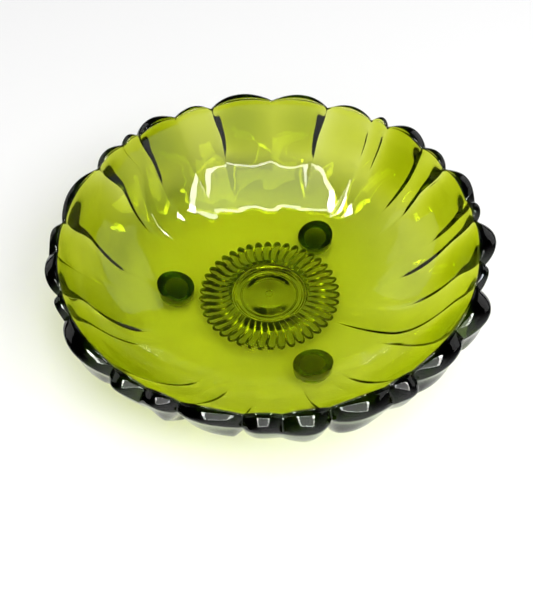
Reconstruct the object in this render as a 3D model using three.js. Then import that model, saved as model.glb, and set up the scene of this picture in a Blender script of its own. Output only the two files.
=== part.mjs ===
// A three-footed pressed glass dish whose outside is moulded as overlapping flower petals.
// Millimetres, +Z up, origin on the table under the middle of the dish, front towards -Y.

import * as THREE from 'three';

// ---- Driving dimensions ------------------------------------------------------------------
const BASE_UNDERSIDE = 9;        // height of the underside of the dish over the table
const GLASS_THICKNESS = 4.2;     // of the floor, and of the wall before the petals are laid on it
const FLAT_RADIUS = 28;          // the flat middle of the floor
const OUTER_REACH = 80.5;        // from the flat middle out to the outside of the wall
const WALL_CENTRE_Z = 80;        // height of the centre of the wall's quarter ellipse
const RIM_Z = 63;                // height of the rim's inner and outer corners on a lobe's tip
const RIM_CROWN = 0.24;          // height of the rounded rim as a share of its thickness
const RIM_OVAL = 3.2;            // how much deeper than wide the rim is, front and back alike
const JOINT_GAP = 0.3;           // clearance between neighbouring pieces

// ---- Petals: the grooves that part their lobes, anticlockwise from +X -------------------------
// Angle of the groove at the rim, high on the wall and low on the wall, in degrees; the share of
// the wall that it runs down; the side on which a petal lies over its neighbour (1 after the
// groove, -1 before it, 0 neither); the size of that overlap; the relief left in the groove,
// where a minus cuts into the wall; and the relief of the lobe that follows it.
const GROOVES = [
  [0.4, 1.3, -2, 0.62, 1, 1.05, -2.4, 0.9],
  [8.1, 8.3, 7.5, 0.36, 1, 0.6, 2, 4.1],
  [22.8, 25.8, 24.5, 0.42, 1, 1, -2.4, 0.9],
  [34.1, 33.3, 33.3, 0.5, 1, 0.5, 1, 5.4],
  [48.1, 48.2, 47.5, 0.36, 1, 0.45, -1.2, 0.9],
  [53.8, 53.3, 53.3, 0.3, 1, 0.3, -1.9, 0.9],
  [69, 70.8, 70.8, 0.38, 1, 0.9, -2.4, 3.5],
  [87.3, 87.3, 87.3, 0.3, 0, 0, 1.5, 5.3],
  [107.2, 105.4, 106.4, 0.34, -1, 0.7, -1.9, 0.9],
  [119, 119, 119, 0.3, 0, 0, 2, 5.4],
  [132.9, 131.5, 135, 0.36, -1, 0.8, 0.5, 0.9],
  [138.9, 136.5, 148, 0.56, -1, 0.8, 1, 0.9],
  [151.2, 147.5, 152.5, 0.5, -1, 1.2, -2.4, 0.9],
  [175.3, 171.8, 177.5, 0.52, -1, 1.1, -2.4, 0.9],
  [187.1, 186.2, 188, 0.25, -1, 0.4, 2, 2.6],
  [201.8, 197.8, 208, 0.6, -1, 1.1, -2.4, 0.9],
  [210.3, 207.5, 216, 0.5, -1, 0.8, -0.6, 4.9],
  [230.8, 229, 242, 0.56, -1, 0.8, -1.2, 4.6],
  [240.5, 240.5, 247, 0.4, 0, 0, 2.2, 3.5],
  [249.2, 247.5, 253.5, 0.56, -1, 0.8, -1.2, 3.5],
  [263.6, 263, 264, 0.45, -1, 0.6, 0.1, 5.1],
  [272, 272, 272, 0.3, 0, 0, 3.2, 7.5],
  [282.3, 282, 281.5, 0.45, 1, 0.6, -0.2, 6.1],
  [296, 296, 293, 0.4, 0, 0, 3.2, 6.5],
  [303.6, 303, 298.5, 0.54, 1, 0.8, -1.2, 5.3],
  [320.1, 320.5, 321, 0.45, 1, 0.8, 0.9, 7.4],
  [335.8, 336.5, 326.5, 0.97, 1, 0.55, -1.2, 0.9],
  [344.7, 347.5, 341.5, 0.5, 1, 0.8, -1.5, 5.4],
];
const OVERLAP_HEIGHT = 4.8;      // how far an overlap of size 1 stands over its neighbour
const OVERLAP_WIDTH = 6;         // width of that slope
const RIM_SHARE = 0.85;          // relief at the rim as a share of the relief at the belly
const BELLY_DEPTH = 0.14;        // share of the wall from the rim down to the lobes' bellies
const NECK_DROP = 4.5;           // how far the outside of the rim dips in a groove
const INNER_DROP_SHARE = 0.35;   // share of that dip on the inside of the rim
const INNER_FLUTE = 0.4;         // how far the lobes show on the inside of the wall
const LOBE_COLUMNS = [0, 0.12, 0.25, 0.38, 0.5, 0.62, 0.75, 0.88];

// ---- Feet, sunburst and centre boss --------------------------------------------------------
const FEET = {
  foot_left: { angle: 175, circle: 52.5 },
  foot_back_right: { angle: 55.4, circle: 50 },
  foot_front_right: { angle: 292.7, circle: 55 },
};
const FOOT_BALL_RADIUS = 10.2;
const FOOT_BALL_Z = 9.4;
const FOOT_SEGMENTS = 28;
const RAY_COUNT = 42;
const RAY_COLUMNS = 8;
const RAY_ROOT_RADIUS = 20.7;
const RAY_TIP_RADIUS = 39.3;
const RAY_VALLEY_RADIUS = 33;
const RAY_DEPTH = 2.6;
const RAY_SQUARENESS = 3.2;      // 2 makes a ray's section half an ellipse, more makes it boxier
const RAY_WEB = 0.4;             // glass left between two rays
const RAY_TWIST = 2.5;           // degrees that the middle of a ray leans by
const BOSS_RADIUS = 20.3;
const BOSS_STEP_RADIUS = 15;
const BOSS_RING_DEPTH = 3;
const BOSS_CENTRE_WEB = 0.8;     // glass left over the boss's dished centre

// ---- Material ------------------------------------------------------------------------------
const greenGlass = () => new THREE.MeshStandardMaterial({ color: '#7f9410', roughness: 0.05, metalness: 0 });

const radians = THREE.MathUtils.degToRad;
const { lerp, smoothstep, clamp } = THREE.MathUtils;

// ---- The wall's two clean curves -------------------------------------------------------------
// A quarter ellipse outside the flat middle. `turn` is 0 on the floor and grows up the wall.
function wallPoint(inset, turn) {
  const reach = OUTER_REACH - inset;
  const rise = WALL_CENTRE_Z - BASE_UNDERSIDE - inset;
  return {
    radius: FLAT_RADIUS + reach * Math.sin(turn),
    z: WALL_CENTRE_Z - rise * Math.cos(turn),
  };
}

function rimTurn(inset) {
  return Math.acos((WALL_CENTRE_Z - RIM_Z) / (WALL_CENTRE_Z - BASE_UNDERSIDE - inset));
}

function underside(radius) {
  const sine = clamp((radius - FLAT_RADIUS) / OUTER_REACH, 0, 1);
  return WALL_CENTRE_Z - (WALL_CENTRE_Z - BASE_UNDERSIDE) * Math.sqrt(1 - sine * sine);
}

// ---- Lobes ---------------------------------------------------------------------------------------
function readGroove([rim, high, low, reach, side, size, left, bulge], turnOn = 0) {
  return { rim: rim + turnOn, high: high + turnOn, low: low + turnOn, reach, side, size, left, bulge };
}

// Every column of the dish's mesh follows a lobe down the wall, so the petals' edges stay crisp.
function lobeColumns() {
  return GROOVES.flatMap((row, index) => {
    const last = index === GROOVES.length - 1;
    const start = readGroove(row);
    const end = readGroove(GROOVES[last ? 0 : index + 1], last ? 360 : 0);
    const width = radians(end.high - start.high) * (FLAT_RADIUS + OUTER_REACH);
    return LOBE_COLUMNS.map((across) => {
      const dome = Math.sin(Math.PI * across) ** 0.75;
      const bulge = lerp(lerp(start.left, end.left, across), start.bulge, dome);
      return { start, end, width, across, dome, bulge };
    });
  });
}

// ---- Petal relief ------------------------------------------------------------------------------
// `depth` runs from 0 at the rim to 1 where the wall meets the flat floor.
function grooveAngle(groove, depth) {
  const high = smoothstep(depth, 0, 0.24);
  const low = smoothstep(depth, 0.14, 0.56);
  return groove.rim + (groove.high - groove.rim) * high + (groove.low - groove.high) * low;
}

function overlap(groove, distance, share, depth) {
  const run = Math.min(depth / groove.reach, 1);
  const face = OVERLAP_WIDTH * groove.size * (1 - 0.7 * run ** 1.5) + 0.4;
  const fade = smoothstep(depth, 0.02, 0.16) * (1 - smoothstep(run, 0.45, 1));
  return OVERLAP_HEIGHT * groove.size * clamp(distance / face, 0, 1) * share * fade;
}

function thickness({ start, end, width, across, bulge }, depth) {
  const overStart = start.side > 0 ? overlap(start, across * width, 1 - across, depth) : 0;
  const overEnd = end.side < 0 ? overlap(end, (1 - across) * width, across, depth) : 0;
  const belly = lerp(RIM_SHARE, 1, smoothstep(depth, 0, BELLY_DEPTH));
  const below = lerp(1, 0.16, smoothstep(depth, BELLY_DEPTH + 0.06, 0.46));
  const fadeOut = 1 - smoothstep(depth, 0.42, 0.64);
  return overStart + overEnd + bulge * belly * below * fadeOut;
}

// ---- Mesh helpers -----------------------------------------------------------------------------
// Skins a stack of closed rings. Either two poles close the ends, or the last ring joins the first.
function skinRings(rings, poles = null) {
  const columns = rings[0].length;
  const positions = rings.flat(2);
  const faces = [];
  const at = (ring, column) => (ring % rings.length) * columns + (column % columns);
  const bands = poles ? rings.length - 1 : rings.length;
  for (let ring = 0; ring < bands; ring += 1) {
    for (let column = 0; column < columns; column += 1) {
      faces.push(at(ring, column), at(ring, column + 1), at(ring + 1, column + 1));
      faces.push(at(ring, column), at(ring + 1, column + 1), at(ring + 1, column));
    }
  }
  if (poles) {
    const first = positions.length / 3;
    positions.push(...poles.flat());
    for (let column = 0; column < columns; column += 1) {
      faces.push(first, at(0, column + 1), at(0, column));
      faces.push(first + 1, at(rings.length - 1, column), at(rings.length - 1, column + 1));
    }
  }
  const geometry = new THREE.BufferGeometry();
  geometry.setAttribute('position', new THREE.Float32BufferAttribute(positions, 3));
  geometry.setIndex(faces);
  return geometry;
}

function namedMesh(name, geometry) {
  geometry.computeVertexNormals();
  const mesh = new THREE.Mesh(geometry, greenGlass());
  mesh.name = name;
  return mesh;
}

// ---- Bowl body ------------------------------------------------------------------------------------
// One ring of the bowl's mesh. `dropShare` says how much of the grooves' dip it takes.
function bowlRing(columns, depth, pointOf, dropShare = 1) {
  const fade = 1 - smoothstep(depth, 0, 0.5);
  const ovalFade = 1 - smoothstep(depth, 0, 0.9);
  return columns.map((column) => {
    const { start, end, across, dome } = column;
    const angle = radians(lerp(grooveAngle(start, depth), grooveAngle(end, depth), across));
    const { radius, z } = pointOf(column);
    const reach = radius + RIM_OVAL * Math.sin(angle) ** 2 * ovalFade;
    const drop = NECK_DROP * (1 - dome) * fade * dropShare;
    return [reach * Math.cos(angle), reach * Math.sin(angle), z - drop];
  });
}

function outerPoint(depth) {
  const turn = rimTurn(0) * (1 - depth);
  const { radius, z } = wallPoint(0, turn);
  return (column) => {
    const thick = thickness(column, depth);
    return { radius: radius + thick * Math.sin(turn), z: z - thick * Math.cos(turn) };
  };
}

function innerPoint(depth) {
  const turn = rimTurn(GLASS_THICKNESS) * (1 - depth);
  const { radius, z } = wallPoint(GLASS_THICKNESS, turn);
  const fade = smoothstep(depth, 0, 0.15) * (1 - smoothstep(depth, 0.35, 0.75));
  return ({ dome }) => {
    const flute = INNER_FLUTE * (dome - 0.6) * fade;
    return { radius: radius + flute * Math.sin(turn), z: z - flute * Math.cos(turn) };
  };
}

// The rounded rim: `lean` is 0 at its outer corner and 180 degrees at its inner one.
function rimPoint(lean) {
  const outward = (1 + Math.cos(lean)) / 2;
  return (column) => {
    const inner = innerPoint(0)(column);
    const outer = outerPoint(0)(column);
    const crown = RIM_CROWN * (outer.radius - inner.radius) * Math.sin(lean) ** 0.6;
    return {
      radius: lerp(inner.radius, outer.radius, outward),
      z: lerp(inner.z, outer.z, outward) + crown,
    };
  };
}

function rimRing(columns, lean) {
  const dropShare = lerp(INNER_DROP_SHARE, 1, (1 + Math.cos(lean)) / 2);
  return bowlRing(columns, 0, rimPoint(lean), dropShare);
}

function bowlBody() {
  const columns = lobeColumns();
  const outerDepths = [1, 0.84, 0.7, 0.58, 0.48, 0.39, 0.31, 0.24, 0.17, 0.11, 0.05, 0];
  const innerDepths = [0, 0.08, 0.18, 0.32, 0.48, 0.65, 0.83, 1];
  const rimLeans = [25, 60, 90, 120, 155];
  const level = (radius, z) => () => ({ radius, z });
  const rings = [
    bowlRing(columns, 1, level(FLAT_RADIUS / 2, BASE_UNDERSIDE)),
    ...outerDepths.map((depth) => bowlRing(columns, depth, outerPoint(depth))),
    ...rimLeans.map((lean) => rimRing(columns, radians(lean))),
    ...innerDepths.map((depth) => bowlRing(columns, depth, innerPoint(depth), INNER_DROP_SHARE)),
    bowlRing(columns, 1, level(FLAT_RADIUS / 2, BASE_UNDERSIDE + GLASS_THICKNESS)),
  ];
  const poles = [[0, 0, BASE_UNDERSIDE], [0, 0, BASE_UNDERSIDE + GLASS_THICKNESS]];
  return namedMesh('bowl_body', skinRings(rings, poles));
}

// ---- Sunburst: slender pods side by side under the floor, sloped at the root and rounded at the tip ---
function sunburstRing(along, depthShare) {
  const tip = Math.max(0, (along - 0.8) / 0.2);
  const ends = Math.min(1, along / 0.3) * Math.sqrt(1 - tip ** 2);
  const swirl = radians(RAY_TWIST) * Math.sin(Math.PI * along);
  return Array.from({ length: RAY_COUNT * RAY_COLUMNS }, (_, column) => {
    const offMiddle = Math.abs((2 * (column % RAY_COLUMNS)) / RAY_COLUMNS - 1);
    const pod = (1 - offMiddle ** RAY_SQUARENESS) ** (1 / RAY_SQUARENESS);
    const reach = lerp(RAY_VALLEY_RADIUS, RAY_TIP_RADIUS, Math.sqrt(1 - offMiddle ** 2));
    const radius = lerp(RAY_ROOT_RADIUS, reach, along);
    const angle = radians((column * 360) / (RAY_COUNT * RAY_COLUMNS)) + swirl;
    const depth = lerp(RAY_WEB, RAY_DEPTH, pod * ends);
    const z = underside(radius) - JOINT_GAP - depth * depthShare;
    return [radius * Math.cos(angle), radius * Math.sin(angle), z];
  });
}

function sunburst() {
  const under = [0, 0.15, 0.3, 0.55, 0.8, 0.9, 0.96, 1].map((along) => sunburstRing(along, 1));
  const over = [1, 0.5, 0].map((along) => sunburstRing(along, 0));
  return namedMesh('sunburst', skinRings([...under, ...over]));
}

// ---- Centre boss: a ring round a dished centre with a small dimple in its middle -----------------------
function centreBoss() {
  const top = BASE_UNDERSIDE - JOINT_GAP;
  const bottom = top - BOSS_RING_DEPTH;
  const roof = top - BOSS_CENTRE_WEB;
  const profile = [
    [0, roof - 0.5],
    [1.6, roof - 0.45],
    [2.4, roof],
    [8.5, roof],
    [10.3, roof - 0.3],
    [12, roof - 0.95],
    [13.6, roof - 1.65],
    [BOSS_STEP_RADIUS, bottom],
    [BOSS_STEP_RADIUS + 0.3, bottom + 0.8],
    [BOSS_STEP_RADIUS + 0.8, bottom + 0.8],
    [BOSS_STEP_RADIUS + 1.1, bottom + 0.1],
    [BOSS_STEP_RADIUS + 2.9, bottom + 0.35],
    [BOSS_STEP_RADIUS + 3.5, bottom + 0.9],
    [BOSS_RADIUS - 0.9, bottom + 0.9],
    [BOSS_RADIUS - 0.2, top - 0.5],
    [BOSS_RADIUS, top],
    [0, top],
  ].map(([radius, z]) => new THREE.Vector2(radius, z));
  const geometry = new THREE.LatheGeometry(profile, 48);
  geometry.rotateX(Math.PI / 2);
  return namedMesh('centre_boss', geometry);
}

// ---- Feet: ball toes, flat where they stand, whose tops follow the underside of the bowl -----------------
function foot(name, { angle, circle }) {
  const centre = new THREE.Vector2(circle, 0).rotateAround(new THREE.Vector2(), radians(angle));
  const ring = (radius, heightAt) => Array.from({ length: FOOT_SEGMENTS }, (_, segment) => {
    const turn = (segment * 2 * Math.PI) / FOOT_SEGMENTS;
    const x = centre.x + radius * Math.cos(turn);
    const y = centre.y + radius * Math.sin(turn);
    return [x, y, heightAt(x, y)];
  });
  const ballRing = (degrees) => {
    const turn = radians(degrees);
    const z = FOOT_BALL_Z - FOOT_BALL_RADIUS * Math.cos(turn);
    return ring(FOOT_BALL_RADIUS * Math.sin(turn), () => z);
  };
  const seat = (x, y) => underside(Math.hypot(x, y)) - JOINT_GAP;
  const flatRadius = Math.sqrt(FOOT_BALL_RADIUS ** 2 - FOOT_BALL_Z ** 2);
  const rings = [
    ring(flatRadius, () => 0),
    ...[33, 44, 55, 66, 75].map(ballRing),
    ring(FOOT_BALL_RADIUS, seat),
    ring(FOOT_BALL_RADIUS * 0.5, seat),
  ];
  const poles = [[centre.x, centre.y, 0], [centre.x, centre.y, seat(centre.x, centre.y)]];
  return namedMesh(name, skinRings(rings, poles));
}

const dish = new THREE.Group();
dish.add(bowlBody(), sunburst(), centreBoss());
Object.entries(FEET).forEach(([name, place]) => dish.add(foot(name, place)));

// The petals make the outline a little lopsided, so the middle of the outline goes to the origin.
const middle = new THREE.Box3().setFromObject(dish).getCenter(new THREE.Vector3());
dish.position.set(-middle.x, -middle.y, 0);

export default dish;
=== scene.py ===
"""Looks of a three-footed pressed glass dish with petal walls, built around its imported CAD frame.

The shape follows the CAD part's own formulas at a finer pitch. Lengths in the shape functions
are millimetres from the dish's axis, and to_metres() puts them in the frame. Table, backdrop,
lamps and camera are placed in metres.
"""

import math

import bpy
import numpy as np
from mathutils import Matrix, Vector


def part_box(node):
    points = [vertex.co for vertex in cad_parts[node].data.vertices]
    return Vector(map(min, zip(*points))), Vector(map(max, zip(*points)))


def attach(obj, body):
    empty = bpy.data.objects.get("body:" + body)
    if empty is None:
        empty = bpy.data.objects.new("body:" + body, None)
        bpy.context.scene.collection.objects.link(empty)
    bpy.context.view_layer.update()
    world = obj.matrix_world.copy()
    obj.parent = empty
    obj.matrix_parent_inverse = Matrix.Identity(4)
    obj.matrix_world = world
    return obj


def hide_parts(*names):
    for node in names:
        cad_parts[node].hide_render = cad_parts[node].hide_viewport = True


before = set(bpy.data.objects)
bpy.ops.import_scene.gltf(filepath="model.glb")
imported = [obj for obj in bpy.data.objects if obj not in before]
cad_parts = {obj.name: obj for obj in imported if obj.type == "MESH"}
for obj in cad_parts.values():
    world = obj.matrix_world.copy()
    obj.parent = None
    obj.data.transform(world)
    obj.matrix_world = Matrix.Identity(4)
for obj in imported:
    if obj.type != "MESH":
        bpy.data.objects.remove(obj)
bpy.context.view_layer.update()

# ---- Driving dimensions, as in the CAD part (mm, degrees) ----------------------------------
BASE_UNDERSIDE = 9.0         # height of the underside of the dish over the table
GLASS_THICKNESS = 4.2        # of the floor, and of the wall before the petals are laid on it
FLAT_RADIUS = 28.0           # the flat middle of the floor
OUTER_REACH = 80.5           # from the flat middle out to the outside of the wall
WALL_CENTRE_Z = 80.0         # height of the centre of the wall's quarter ellipse
RIM_Z = 63.0                 # height of the rim's inner and outer corners on a lobe's tip
RIM_CROWN = 0.24             # height of the rounded rim as a share of its thickness
RIM_OVAL = 3.2               # how much further out the rim lies at the front and at the back
FLOOR_TOP = BASE_UNDERSIDE + GLASS_THICKNESS

# where each groove between two lobes runs and how it looks:
# angle at the rim, high on the wall and low on the wall; share of the wall it runs down;
# side of the overlap (1 after the groove, -1 before it, 0 none); overlap size;
# relief left in the groove, where a minus cuts into the wall; relief of the lobe that follows it
GROOVES = [
    (0.4, 1.3, -2, 0.62, 1, 1.05, -2.4, 0.9),
    (8.1, 8.3, 7.5, 0.36, 1, 0.6, 2, 4.1),
    (22.8, 25.8, 24.5, 0.42, 1, 1, -2.4, 0.9),
    (34.1, 33.3, 33.3, 0.5, 1, 0.5, 1, 5.4),
    (48.1, 48.2, 47.5, 0.36, 1, 0.45, -1.2, 0.9),
    (53.8, 53.3, 53.3, 0.3, 1, 0.3, -1.9, 0.9),
    (69, 70.8, 70.8, 0.38, 1, 0.9, -2.4, 3.5),
    (87.3, 87.3, 87.3, 0.3, 0, 0, 1.5, 5.3),
    (107.2, 105.4, 106.4, 0.34, -1, 0.7, -1.9, 0.9),
    (119, 119, 119, 0.3, 0, 0, 2, 5.4),
    (132.9, 131.5, 135, 0.36, -1, 0.8, 0.5, 0.9),
    (138.9, 136.5, 148, 0.56, -1, 0.8, 1, 0.9),
    (151.2, 147.5, 152.5, 0.5, -1, 1.2, -2.4, 0.9),
    (175.3, 171.8, 177.5, 0.52, -1, 1.1, -2.4, 0.9),
    (187.1, 186.2, 188, 0.25, -1, 0.4, 2, 2.6),
    (201.8, 197.8, 208, 0.6, -1, 1.1, -2.4, 0.9),
    (210.3, 207.5, 216, 0.5, -1, 0.8, -0.6, 4.9),
    (230.8, 229, 242, 0.56, -1, 0.8, -1.2, 4.6),
    (240.5, 240.5, 247, 0.4, 0, 0, 2.2, 3.5),
    (249.2, 247.5, 253.5, 0.56, -1, 0.8, -1.2, 3.5),
    (263.6, 263, 264, 0.45, -1, 0.6, 0.1, 5.1),
    (272, 272, 272, 0.3, 0, 0, 3.2, 7.5),
    (282.3, 282, 281.5, 0.45, 1, 0.6, -0.2, 6.1),
    (296, 296, 293, 0.4, 0, 0, 3.2, 6.5),
    (303.6, 303, 298.5, 0.54, 1, 0.8, -1.2, 5.3),
    (320.1, 320.5, 321, 0.45, 1, 0.8, 0.9, 7.4),
    (335.8, 336.5, 326.5, 0.97, 1, 0.55, -1.2, 0.9),
    (344.7, 347.5, 341.5, 0.5, 1, 0.8, -1.5, 5.4),
]
AT_RIM, HIGH_UP, LOW_DOWN, RUN, SIDE, SIZE, LEFT, BULGE = range(8)   # the table's columns
OVERLAP_HEIGHT = 4.8         # how far an overlap of size 1 stands over its neighbour
OVERLAP_WIDTH = 6.0          # width of that slope at the rim
OVERLAP_LEAST_WIDTH = 0.4
OVERLAP_TAPER = 0.7          # how much of the width is gone at the groove's end
OVERLAP_TAPER_POWER = 1.5
DOME_POWER = 0.75            # 1 makes a lobe's section a sine wave, less makes it fuller
RIM_SHARE = 0.85             # relief at the rim as a share of the relief at the belly
BELLY_DEPTH = 0.14           # share of the wall from the rim down to the lobes' bellies
LOW_SHARE = 0.16             # what is left of the relief low on the wall
NECK_DROP = 4.5              # how far the outside of the rim dips in a groove
INNER_DROP_SHARE = 0.35      # share of that dip on the inside of the rim
INNER_FLUTE = 0.4            # how far the lobes show on the inside of the wall
FLUTE_LEVEL = 0.6            # height on a lobe at which the inside of the wall stays put

# where each change begins and ends, as shares of the way down the wall from the rim
HIGH_SWING = (0, 0.24)       # a groove turns to its angle high on the wall
LOW_SWING = (0.14, 0.56)     # and on to its angle low on the wall
OVERLAP_RISE = (0.02, 0.16)
RELIEF_SHRINK = (BELLY_DEPTH + 0.06, 0.46)
RELIEF_END = (0.42, 0.64)
NECK_END = (0, 0.5)
OVAL_END = (0, 0.9)
FLUTE_RISE = (0, 0.15)
FLUTE_END = (0.35, 0.75)
OVERLAP_END = (0.45, 1)      # as shares of the groove's own run

FOOT_PLACES = {              # angle round the axis and distance from it
    "foot_left": (175, 52.5),
    "foot_back_right": (55.4, 50),
    "foot_front_right": (292.7, 55),
}
FOOT_BALL_RADIUS = 10.2
FOOT_BALL_Z = 9.4
RAY_COUNT = 42
RAY_ROOT_RADIUS = 20.7
RAY_TIP_RADIUS = 39.3
RAY_VALLEY_RADIUS = 33.0
RAY_DEPTH = 2.6
RAY_SQUARENESS = 3.2         # 2 makes a ray's section half an ellipse, more makes it boxier
RAY_TWIST = 2.5              # degrees that the middle of a ray leans by
RAY_ROOT_SHARE = 0.3         # share of a ray's length over which it rises at its root
RAY_TIP_SHARE = 0.2          # share of its length over which it rounds off at its tip
BOSS_RADIUS = 20.3
BOSS_STEP_RADIUS = 15.0
BOSS_RING_DEPTH = 3.0
BOSS_CENTRE_WEB = 0.8        # glass left over the boss's dished centre

# ---- The render's own dimensions (mm where no unit is given) --------------------------------
PIECE_GAP = 0.12             # between neighbouring pieces
POLISH = 0.25                # how far fire polishing draws the lobes back from the mould
RIM_LINE_DEPTH = 0.5         # of a fine line pressed into the inside of the rim
RIM_LINE_LEAN = 2.4          # where that line lies, in radians over the rim from its outer corner
RIM_LINE_WIDTH = 0.2
RAY_WEB = 0.15               # glass left between two rays
TOE_LIFT = 0.05              # keeps the toes' flats off the table's surface
COLUMN_PITCH = 0.54          # degrees from one column of the bowl's mesh to the next
OUTER_RINGS, RIM_RINGS, INNER_RINGS = 70, 20, 46
RAY_COLUMNS = 16
TOE_COLUMNS = 96
BOSS_COLUMNS = 160

# ---- Camera, from the dish's axis (m, with the lens in mm) -----------------------------------
CAMERA_LENS = 38.2
CAMERA_PLACE = (0.0, -0.2311, 0.2883)
CAMERA_FORWARD = (-0.0048, 0.6242, -0.7813)
CAMERA_RIGHT = (0.9995, -0.0204, -0.0224)

boss_low, boss_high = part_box("centre_boss")
AXIS_X, AXIS_Y = (boss_low.x + boss_high.x) / 2, (boss_low.y + boss_high.y) / 2


def to_metres(points):
    return np.asarray(points, float) * 0.001 + np.array([AXIS_X, AXIS_Y, 0.0])


def smoothstep(value, low, high):
    t = np.clip((value - low) / (high - low), 0.0, 1.0)
    return t * t * (3 - 2 * t)


def lerp(start, end, share):
    return start + (end - start) * share


# ---- Mesh helpers --------------------------------------------------------------------------
def add_object(name, mesh):
    made = bpy.data.objects.new(name, mesh)
    bpy.context.scene.collection.objects.link(made)
    return made


def skin(name, rings, poles=None):
    """A closed mesh over a stack of rings; two poles close its ends, or the last ring joins the first."""
    rings = np.asarray(rings)
    count, columns = rings.shape[:2]
    verts = rings.reshape(-1, 3)
    bands = count - 1 if poles is not None else count
    ring, column = np.meshgrid(np.arange(bands), np.arange(columns), indexing="ij")
    after, above = (column + 1) % columns, (ring + 1) % count
    quads = np.stack([ring * columns + column, ring * columns + after,
                      above * columns + after, above * columns + column], -1).reshape(-1, 4)
    faces = quads.tolist()
    if poles is not None:
        first = len(verts)
        verts = np.vstack([verts, poles])
        top = (count - 1) * columns
        for i in range(columns):
            j = (i + 1) % columns
            faces.append([first, j, i])
            faces.append([first + 1, top + i, top + j])
    mesh = bpy.data.meshes.new(name)
    mesh.from_pydata(to_metres(verts).tolist(), [], faces)
    mesh.polygons.foreach_set("use_smooth", np.ones(len(mesh.polygons), bool))
    mesh.update()
    return add_object(name, mesh)


def on_circle(radius, angle, z):
    radius, angle, z = np.broadcast_arrays(radius, angle, z)
    return np.stack([radius * np.cos(angle), radius * np.sin(angle), z], -1)


# ---- The wall's two clean curves -----------------------------------------------------------
def wall_point(inset, turn):
    """A point of the wall's quarter ellipse; turn is 0 on the floor and grows up the wall."""
    reach = OUTER_REACH - inset
    rise = WALL_CENTRE_Z - BASE_UNDERSIDE - inset
    return FLAT_RADIUS + reach * math.sin(turn), WALL_CENTRE_Z - rise * math.cos(turn)


def rim_turn(inset):
    return math.acos((WALL_CENTRE_Z - RIM_Z) / (WALL_CENTRE_Z - BASE_UNDERSIDE - inset))


def underside(radius):
    sine = np.clip((radius - FLAT_RADIUS) / OUTER_REACH, 0, 1)
    return WALL_CENTRE_Z - (WALL_CENTRE_Z - BASE_UNDERSIDE) * np.sqrt(1 - sine * sine)


# ---- Petals: depth runs from 0 at the rim to 1 where the wall meets the flat floor -----------
class Columns:
    """The mesh's columns: the grooves on both sides of each one, and how far across it lies."""

    def __init__(self):
        grooves = np.array(GROOVES, float)
        starts, ends, across = [], [], []
        for index, start in enumerate(grooves):
            end = grooves[(index + 1) % len(grooves)].copy()
            if index == len(grooves) - 1:
                end[[AT_RIM, HIGH_UP, LOW_DOWN]] += 360
            count = max(10, round((end[AT_RIM] - start[AT_RIM]) / COLUMN_PITCH))
            even = np.arange(count) / count
            crowded = 0.5 - 0.5 * np.cos(np.pi * even)
            across.append(0.5 * even + 0.5 * crowded)
            starts.append(np.tile(start, (count, 1)))
            ends.append(np.tile(end, (count, 1)))
        self.start, self.end = np.vstack(starts), np.vstack(ends)
        self.across = np.concatenate(across)
        span = np.radians(self.end[:, HIGH_UP] - self.start[:, HIGH_UP])
        self.width = span * (FLAT_RADIUS + OUTER_REACH)
        self.dome = np.maximum(np.sin(np.pi * self.across), 0) ** DOME_POWER
        left = lerp(self.start[:, LEFT], self.end[:, LEFT], self.across)
        self.bulge = lerp(left, self.start[:, BULGE], self.dome)

    def angle(self, depth):
        high, low = smoothstep(depth, *HIGH_SWING), smoothstep(depth, *LOW_SWING)

        def along(groove):
            rim, upper, lower = groove[:, AT_RIM], groove[:, HIGH_UP], groove[:, LOW_DOWN]
            return rim + (upper - rim) * high + (lower - upper) * low
        return np.radians(lerp(along(self.start), along(self.end), self.across))

    def overlap(self, groove, distance, share, side, depth):
        run = np.clip(depth / groove[:, RUN], 0, 1)
        taper = 1 - OVERLAP_TAPER * run ** OVERLAP_TAPER_POWER
        face = OVERLAP_WIDTH * groove[:, SIZE] * taper + OVERLAP_LEAST_WIDTH
        fade = (1 - smoothstep(run, *OVERLAP_END)) * smoothstep(depth, *OVERLAP_RISE)
        rise = np.clip(distance / face, 0, 1) * share * fade
        return np.where(groove[:, SIDE] == side, OVERLAP_HEIGHT * groove[:, SIZE] * rise, 0)

    def thickness(self, depth):
        near = self.overlap(self.start, self.across * self.width, 1 - self.across, 1, depth)
        far = self.overlap(self.end, (1 - self.across) * self.width, self.across, -1, depth)
        belly = lerp(RIM_SHARE, 1, smoothstep(depth, 0, BELLY_DEPTH))
        below = lerp(1, LOW_SHARE, smoothstep(depth, *RELIEF_SHRINK)) * (1 - smoothstep(depth, *RELIEF_END))
        return near + far + belly * below * self.bulge


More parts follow.
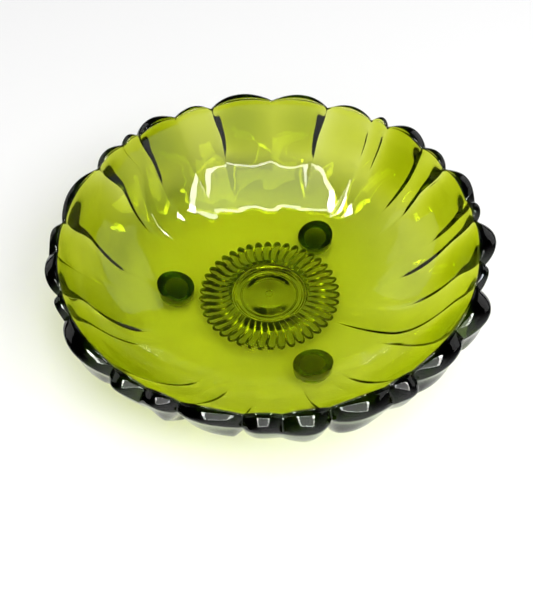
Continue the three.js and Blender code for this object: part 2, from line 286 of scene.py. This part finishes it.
def make_bowl():
    columns = Columns()

    def ring(depth, radius, z, share=1.0):
        drop = NECK_DROP * (1 - columns.dome) * (1 - smoothstep(depth, *NECK_END))
        angle = columns.angle(depth)
        oval = RIM_OVAL * np.sin(angle) ** 2 * (1 - smoothstep(depth, *OVAL_END))
        return on_circle(radius + oval, angle, z - drop * share)

    def outer(depth):
        turn = rim_turn(0) * (1 - depth)
        radius, z = wall_point(0, turn)
        thick = columns.thickness(depth) - POLISH
        return radius + thick * math.sin(turn), z - thick * math.cos(turn)

    def inner(depth):
        turn = rim_turn(GLASS_THICKNESS) * (1 - depth)
        radius, z = wall_point(GLASS_THICKNESS, turn)
        fade = smoothstep(depth, *FLUTE_RISE) * (1 - smoothstep(depth, *FLUTE_END))
        flute = INNER_FLUTE * (columns.dome - FLUTE_LEVEL) * fade
        return radius + flute * math.sin(turn), z - flute * math.cos(turn)

    def rim(lean):
        """Over the rounded rim: lean is 0 at its outer corner and pi at its inner one."""
        inner_radius, inner_z = inner(0)
        outer_radius, outer_z = outer(0)
        half = (outer_radius - inner_radius) / 2
        corner = lerp(inner_z, outer_z, (1 + math.cos(lean)) / 2)
        crown = 2 * half * RIM_CROWN * math.sin(lean) ** 0.6
        line = RIM_LINE_DEPTH * math.exp(-((lean - RIM_LINE_LEAN) / RIM_LINE_WIDTH) ** 2)
        return inner_radius + half * (1 + math.cos(lean)), corner + crown - line

    floor_steps = np.linspace(0.15, 0.9, 5) * FLAT_RADIUS
    rings = [ring(1, radius, BASE_UNDERSIDE) for radius in floor_steps]
    rings += [ring(depth, *outer(depth)) for depth in 1 - np.linspace(0, 1, OUTER_RINGS) ** 0.9]
    rings += [ring(0, *rim(lean), share=lerp(INNER_DROP_SHARE, 1, (1 + math.cos(lean)) / 2))
              for lean in np.linspace(0, math.pi, RIM_RINGS + 2)[1:-1]]
    rings += [ring(depth, *inner(depth), share=INNER_DROP_SHARE) for depth in np.linspace(0, 1, INNER_RINGS)]
    rings += [ring(1, radius, FLOOR_TOP) for radius in floor_steps[::-1]]
    return skin("bowl", rings, [(0, 0, BASE_UNDERSIDE), (0, 0, FLOOR_TOP)])


# ---- What lies under the floor ---------------------------------------------------------------
def make_sunburst():
    """Slender pods side by side under the base, each rounded across and at both its ends."""
    column = np.arange(RAY_COUNT * RAY_COLUMNS)
    across = 2 * (column % RAY_COLUMNS) / RAY_COLUMNS - 1
    pod = np.clip(1 - np.abs(across) ** RAY_SQUARENESS, 0, 1) ** (1 / RAY_SQUARENESS)
    reach = lerp(RAY_VALLEY_RADIUS, RAY_TIP_RADIUS, np.sqrt(1 - across ** 2))
    base_angle = np.radians(column * 360 / (RAY_COUNT * RAY_COLUMNS))

    def ring(along, share):
        radius = lerp(RAY_ROOT_RADIUS, reach, along)
        tip = max(0.0, (along - (1 - RAY_TIP_SHARE)) / RAY_TIP_SHARE)
        ends = min(1.0, along / RAY_ROOT_SHARE) * math.sqrt(max(0.0, 1 - tip ** 2))
        depth = RAY_WEB + (RAY_DEPTH - RAY_WEB) * pod * ends
        swirl = math.radians(RAY_TWIST) * math.sin(math.pi * along)
        return on_circle(radius, base_angle + swirl, underside(radius) - PIECE_GAP - depth * share)

    under = [ring(along, 1.0) for along in 0.5 - 0.5 * np.cos(np.linspace(0, math.pi, 30))]
    over = [ring(along, 0.0) for along in np.linspace(1, 0, 8)]
    return skin("sunburst_rays", under + over)


def rounded(profile, reach=0.35, steps=4):
    """A profile with each inner corner cut by a small arc."""
    profile = [np.array(p, float) for p in profile]
    out = [profile[0]]
    for before, corner, after in zip(profile, profile[1:], profile[2:]):
        length_in, length_out = np.linalg.norm(before - corner), np.linalg.norm(after - corner)
        start = corner + (before - corner) / length_in * min(reach, 0.45 * length_in)
        end = corner + (after - corner) / length_out * min(reach, 0.45 * length_out)
        for t in np.linspace(0, 1, steps):
            out.append((1 - t) ** 2 * start + 2 * t * (1 - t) * corner + t * t * end)
    return out + [profile[-1]]


def lathe(name, profile, columns):
    """Turns a profile of (radius, z), whose ends lie on the axis, into a closed mesh."""
    angle = np.linspace(0, 2 * np.pi, columns, endpoint=False)
    rings = [on_circle(radius, angle, z) for radius, z in profile[1:-1]]
    return skin(name, rings, [(0, 0, profile[0][1]), (0, 0, profile[-1][1])])


def make_boss():
    """A ring round a dished centre with a small button in its middle."""
    top = BASE_UNDERSIDE - PIECE_GAP
    bottom = top - BOSS_RING_DEPTH
    roof = top - BOSS_CENTRE_WEB
    profile = [
        (0, roof - 0.5),
        (1.6, roof - 0.45),
        (2.4, roof),
        (8.5, roof),
        (10.3, roof - 0.3),
        (12, roof - 0.95),
        (13.6, roof - 1.65),
        (BOSS_STEP_RADIUS, bottom),
        (BOSS_STEP_RADIUS + 0.3, bottom + 0.8),
        (BOSS_STEP_RADIUS + 0.8, bottom + 0.8),
        (BOSS_STEP_RADIUS + 1.1, bottom + 0.1),
        (BOSS_STEP_RADIUS + 2.9, bottom + 0.35),
        (BOSS_STEP_RADIUS + 3.5, bottom + 0.9),
        (BOSS_RADIUS - 0.9, bottom + 0.9),
        (BOSS_RADIUS - 0.2, top - 0.5),
        (BOSS_RADIUS, top),
        (0, top),
    ]
    return lathe("boss", rounded(profile), BOSS_COLUMNS)


def make_foot(name):
    """A ball toe, flat where it stands, whose top follows the dish's underside."""
    degrees, circle = FOOT_PLACES[name]
    angle = math.radians(degrees)
    centre = np.array([math.cos(angle), math.sin(angle)]) * circle
    around = np.linspace(0, 2 * np.pi, TOE_COLUMNS, endpoint=False)

    def seat(x, y):
        return underside(np.hypot(x, y)) - PIECE_GAP

    def ring(radius, height=None):
        x, y = centre[0] + radius * np.cos(around), centre[1] + radius * np.sin(around)
        z = seat(x, y) if height is None else np.full_like(x, height)
        return np.stack([x, y, z], -1)

    flat = math.sqrt(FOOT_BALL_RADIUS ** 2 - FOOT_BALL_Z ** 2)
    low = math.atan2(flat, FOOT_BALL_Z)
    rings = [ring(flat * share, TOE_LIFT) for share in (0.3, 0.65, 1.0)]
    rings += [ring(FOOT_BALL_RADIUS * math.sin(t), FOOT_BALL_Z - FOOT_BALL_RADIUS * math.cos(t))
              for t in np.linspace(low, math.pi / 2 - 0.02, 26)[1:]]
    edge = ring(FOOT_BALL_RADIUS)
    rings += [lerp(rings[-1], edge, share) for share in (0.5, 1.0)]
    rings += [ring(FOOT_BALL_RADIUS * share) for share in (0.97, 0.85, 0.65, 0.45, 0.2)]
    return skin(name + "_toe", rings, [(*centre, TOE_LIFT), (*centre, float(seat(*centre)))])


# ---- Shader helpers --------------------------------------------------------------------------
def node(tree, kind, **settings):
    made = tree.nodes.new(kind)
    for key, value in settings.items():
        setattr(made, key, value)
    return made


def calculate(tree, operation, *values):
    """A Math node fed with other nodes' outputs or with plain numbers."""
    made = node(tree, "ShaderNodeMath", operation=operation)
    for socket, value in zip(made.inputs, values):
        if isinstance(value, float):
            socket.default_value = value
        else:
            tree.links.new(value, socket)
    return made.outputs["Value"]


def map_range(tree, value, source, target=(0.0, 1.0), ends="SMOOTHSTEP"):
    made = node(tree, "ShaderNodeMapRange", interpolation_type=ends)
    made.inputs["From Min"].default_value, made.inputs["From Max"].default_value = source
    made.inputs["To Min"].default_value, made.inputs["To Max"].default_value = target
    tree.links.new(value, made.inputs["Value"])
    return made.outputs["Result"]


def noise(tree, place, scale, detail):
    made = node(tree, "ShaderNodeTexNoise")
    made.inputs["Scale"].default_value = scale
    made.inputs["Detail"].default_value = detail
    tree.links.new(place, made.inputs["Vector"])
    return made.outputs["Fac"]


def bump(tree, height, strength, distance, over=None):
    """A bumped normal, laid over another one where that is given."""
    made = node(tree, "ShaderNodeBump")
    made.inputs["Strength"].default_value = strength
    made.inputs["Distance"].default_value = distance
    tree.links.new(height, made.inputs["Height"])
    if over is not None:
        tree.links.new(over, made.inputs["Normal"])
    return made.outputs["Normal"]


# ---- Glass -----------------------------------------------------------------------------------
GLASS_IOR = 1.51
CLEAR_TINT = (0.97, 1.0, 0.93, 1)
# the colour of the painted shade on the steep and front-facing faces of the relief
PAINTED_SHADE_TINT = (0.003, 0.004, 0.003, 1)
AVOCADO = (0.834, 0.8625, 0.0, 1)
RIPPLE_SCALE = 70.0
FLUTE_SCALE = 48.0
FLUTE_STRETCH = 0.12         # the flutes' noise is drawn out down the wall
HAZE = 0.02                  # the most roughness that the ripple brings
CHILL_CENTRE = (0.006, -0.012)
CHILL_MARK_CENTRE = (-0.008, -0.042)
CHILL_MARK_EDGES = (0.017, 0.006)
CHILL_WAVES = 4200.0         # radians of wave per metre away from the centre


def paint_shade_on_steep_faces(tree, shader, steep, lean):
    """Paints shade into the colour of the steep and the front-facing slopes of the relief, so that they look
    dark through the floor.

    Both pairs of limits run from painted shade to clear: steep is how level a face is, lean how far it faces
    back.
    """
    surface = node(tree, "ShaderNodeNewGeometry")
    parts = node(tree, "ShaderNodeSeparateXYZ")
    tree.links.new(surface.outputs["Normal"], parts.inputs["Vector"])
    level = map_range(tree, calculate(tree, "ABSOLUTE", parts.outputs["Z"]), steep)
    away = map_range(tree, parts.outputs["Y"], lean)
    # painted shade: steep and front-facing faces get a near-black colour, the others stay clear
    painted_shade = node(tree, "ShaderNodeMix", data_type="RGBA")
    painted_shade.inputs["A"].default_value = PAINTED_SHADE_TINT
    painted_shade.inputs["B"].default_value = CLEAR_TINT
    tree.links.new(calculate(tree, "MULTIPLY", level, away), painted_shade.inputs["Factor"])
    tree.links.new(painted_shade.outputs["Result"], shader.inputs["Base Color"])


def distance_from(tree, place, spot):
    """How far the surface lies from a spot given from the dish's axis."""
    away = node(tree, "ShaderNodeVectorMath", operation="DISTANCE")
    away.inputs[1].default_value = (AXIS_X + spot[0], AXIS_Y + spot[1], FLOOR_TOP * 0.001)
    tree.links.new(place, away.inputs[0])
    return away.outputs["Value"]


def chill_mark(tree, place):
    """The fine arcs that chilled glass leaves on the floor in front of the sunburst."""
    turns = calculate(tree, "MULTIPLY", distance_from(tree, place, CHILL_CENTRE), CHILL_WAVES)
    patch = map_range(tree, distance_from(tree, place, CHILL_MARK_CENTRE), CHILL_MARK_EDGES)
    return calculate(tree, "MULTIPLY", calculate(tree, "SINE", turns), patch)


def make_glass(name, density, **steep_faces):
    """Avocado-green pressed glass, wavy down the wall from the mould and faintly rippled all over."""
    material = bpy.data.materials.new(name)
    material.use_nodes = True
    tree = material.node_tree
    shader = tree.nodes["Principled BSDF"]
    shader.inputs["Base Color"].default_value = CLEAR_TINT
    shader.inputs["Transmission Weight"].default_value = 1.0
    shader.inputs["IOR"].default_value = GLASS_IOR
    # painted shade on the steep and front-facing faces, where limits for it are given
    if steep_faces:
        paint_shade_on_steep_faces(tree, shader, **steep_faces)
    absorb = node(tree, "ShaderNodeVolumeAbsorption")
    absorb.inputs["Color"].default_value = AVOCADO
    absorb.inputs["Density"].default_value = density
    tree.links.new(absorb.outputs["Volume"], tree.nodes["Material Output"].inputs["Volume"])

    place = node(tree, "ShaderNodeTexCoord").outputs["Object"]
    stretch = node(tree, "ShaderNodeMapping")
    stretch.inputs["Scale"].default_value = (1.0, 1.0, FLUTE_STRETCH)
    tree.links.new(place, stretch.inputs["Vector"])
    ripple = noise(tree, place, RIPPLE_SCALE, detail=2.0)
    flutes = noise(tree, stretch.outputs["Vector"], FLUTE_SCALE, detail=1.0)
    fine = bump(tree, ripple, strength=0.12, distance=0.0004)
    broad = bump(tree, flutes, strength=0.5, distance=0.0014, over=fine)
    chilled = bump(tree, chill_mark(tree, place), strength=0.5, distance=0.0001, over=broad)
    tree.links.new(chilled, shader.inputs["Normal"])
    haze = map_range(tree, ripple, (0.35, 0.75), (0.0, HAZE), ends="LINEAR")
    tree.links.new(haze, shader.inputs["Roughness"])
    return material


# ---- Table, backdrop, lights and camera --------------------------------------------------------
TABLE_HALF_SIZE = 4.0
TABLE_GREY = (0.89, 0.89, 0.89, 1)
BACKDROP_RADIUS, BACKDROP_HEIGHT, BACKDROP_SEGMENTS = 1.7, 1.3, 96
BACKDROP_GREY = (0.86, 0.86, 0.86, 1)
BLACK = (0, 0, 0, 1)
LAMP_FRAME_CENTRE = (0.015, -0.03, 0.6)
LAMP_FRAME_HALF_SIZE = (0.235, 0.155)
BRIGHT_SIDE = (0.3, -0.95, 0.0)          # the way from the dish towards the room's lighter side


def stage_material(mesh, name):
    """A new plain material on a mesh of the stage, and its shader."""
    material = bpy.data.materials.new(name)
    material.use_nodes = True
    mesh.materials.append(material)
    shader = material.node_tree.nodes["Principled BSDF"]
    shader.inputs["Specular IOR Level"].default_value = 0.0
    return shader


def make_floor():
    mesh = bpy.data.meshes.new("table")
    half = TABLE_HALF_SIZE
    mesh.from_pydata([(-half, -half, 0), (half, -half, 0), (half, half, 0), (-half, half, 0)],
                     [], [(0, 1, 2, 3)])
    shader = stage_material(mesh, "white_table")
    shader.inputs["Base Color"].default_value = TABLE_GREY
    shader.inputs["Roughness"].default_value = 0.9
    add_object("table", mesh)


def make_backdrop():
    """A low round wall of pale studio cloth behind the table, out of the main view."""
    count = BACKDROP_SEGMENTS
    turns = [2 * math.pi * i / count for i in range(count)]
    verts = [(BACKDROP_RADIUS * math.cos(t), BACKDROP_RADIUS * math.sin(t), z)
             for z in (-0.01, BACKDROP_HEIGHT) for t in turns]
    faces = [(i, (i + 1) % count, count + (i + 1) % count, count + i) for i in range(count)]
    mesh = bpy.data.meshes.new("backdrop")
    mesh.from_pydata(verts, [], faces)
    mesh.polygons.foreach_set("use_smooth", [True] * count)
    shader = stage_material(mesh, "pale_cloth")
    shader.inputs["Base Color"].default_value = BLACK
    shader.inputs["Emission Color"].default_value = BACKDROP_GREY
    shader.inputs["Emission Strength"].default_value = 1.0
    wall = add_object("backdrop", mesh)
    # only a background: it lights nothing, stays out of reflections and stops no lamp
    wall.visible_diffuse = wall.visible_glossy = wall.visible_shadow = False


def area_light(name, place, aim, size, power, role):
    """A soft rectangular lamp: a "light" falls on the table, a "shine" shows in reflections."""
    data = bpy.data.lights.new(name, "AREA")
    data.shape = "RECTANGLE"
    data.size, data.size_y = size
    data.energy = power
    light = add_object(name, data)
    light.location = place
    light.rotation_euler = (Vector(aim) - Vector(place)).to_track_quat("-Z", "Y").to_euler()
    light.visible_glossy = role == "shine"
    light.visible_diffuse = role == "light"
    light.visible_camera = False


def overhead(name, centre, size, power):
    """A shine facing straight down at a place given from the dish's axis."""
    place = Vector((AXIS_X, AXIS_Y, 0)) + Vector(centre)
    area_light(name, place, place - Vector((0, 0, 1)), size, power, "shine")


def make_lights():
    # a rectangular frame of thin lamps over the dish, seen as hollow outlines in the glass
    x, y, z = LAMP_FRAME_CENTRE
    half_width, half_depth = LAMP_FRAME_HALF_SIZE
    for side in (-1, 1):
        overhead(f"frame_long_{side}", (x, y + side * half_depth, z), (2 * half_width, 0.02), 0.36)
        overhead(f"frame_short_{side}", (x + side * half_width, y, z), (0.04, 2 * half_depth), 0.6)
    # the hollow far wall shows them turned round, and they are named for the side it shows them on
    overhead("frame_corner_left", (0.245, 0.105, 0.595), (0.06, 0.07), 0.4)
    overhead("frame_corner_right", (-0.222, 0.085, 0.595), (0.05, 0.12), 0.5)
    # a wide dim lamp in front and a pane inside the frame, seen as a pale veil on the glass
    overhead("soft_box", (0.05, -0.3, 1.1), (1.3, 0.85), 0.7)
    overhead("frame_veil", (x, y, z + 0.02), (0.45, 0.3), 0.8)
    # two dim panels behind, seen as a sheen on the sides of the rim and of the wall
    for side in (-1, 1):
        area_light(f"sheen_{side}", (side * 1.3, 1.2, 0.9), (0, 0, 0.05), (1.3, 1.0), 2.4, "shine")
    # the light on the table comes from high in front, so that the soft shadow lies at the back left
    area_light("key", (0.2, -0.7, 2.2), (0, 0, 0), (1.4, 1.2), 35.0, "light")
    area_light("fill", (2.2, -2.0, 2.6), (0, 0, 0), (1.8, 1.8), 85.0, "light")


def make_world():
    """A dim room, a little lighter on the camera's side."""
    world = bpy.data.worlds.new("studio")
    bpy.context.scene.world = world
    world.use_nodes = True
    tree = world.node_tree
    background = tree.nodes["Background"]
    toward = node(tree, "ShaderNodeVectorMath", operation="DOT_PRODUCT")
    toward.inputs[1].default_value = BRIGHT_SIDE
    tree.links.new(node(tree, "ShaderNodeTexCoord").outputs["Generated"], toward.inputs[0])
    strength = map_range(tree, toward.outputs["Value"], (-0.2, 0.9), (0.01, 1.0))
    tree.links.new(strength, background.inputs["Strength"])
    background.inputs["Color"].default_value = (1, 1, 1, 1)


def make_camera():
    data = bpy.data.cameras.new("camera")
    data.sensor_width = 36.0
    data.lens = CAMERA_LENS
    data.clip_start = 0.01
    camera = add_object("camera", data)
    forward, right = Vector(CAMERA_FORWARD).normalized(), Vector(CAMERA_RIGHT).normalized()
    up = right.cross(forward)
    place = Vector((AXIS_X, AXIS_Y, 0)) + Vector(CAMERA_PLACE)
    turn = Matrix((right, up, -forward)).transposed().to_4x4()
    camera.matrix_world = Matrix.Translation(place) @ turn
    bpy.context.scene.camera = camera


make_camera()
pieces = {
    "bowl_body": make_bowl(),
    "sunburst": make_sunburst(),
    "centre_boss": make_boss(),
    **{name: make_foot(name) for name in FOOT_PLACES},
}
# the rays and the boss are seen through the floor, and their glass is made paler as painted light against
# the shade they lie in; the toes' glass is made deeper as painted shade
body_glass = make_glass("green_glass", density=560.0)
# the rays and the boss also get painted shade on their steep and front-facing faces
ray_glass = make_glass("green_ray_glass", density=260.0, steep=(0.46, 0.6), lean=(-0.33, -0.22))
boss_glass = make_glass("green_boss_glass", density=40.0, steep=(0.42, 0.6), lean=(-0.32, -0.2))
toe_glass = make_glass("green_toe_glass", density=680.0)
glasses = {"bowl_body": body_glass, "sunburst": ray_glass, "centre_boss": boss_glass}
for cad_node, piece in pieces.items():
    piece.data.materials.append(glasses.get(cad_node, toe_glass))
    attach(piece, "root")
    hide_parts(cad_node)

make_floor()
make_backdrop()
make_lights()
make_world()

scene = bpy.context.scene
scene.view_settings.view_transform = "Standard"
scene.cycles.max_bounces = 24
scene.cycles.transmission_bounces = 24
scene.cycles.glossy_bounces = 16
scene.cycles.transparent_max_bounces = 24
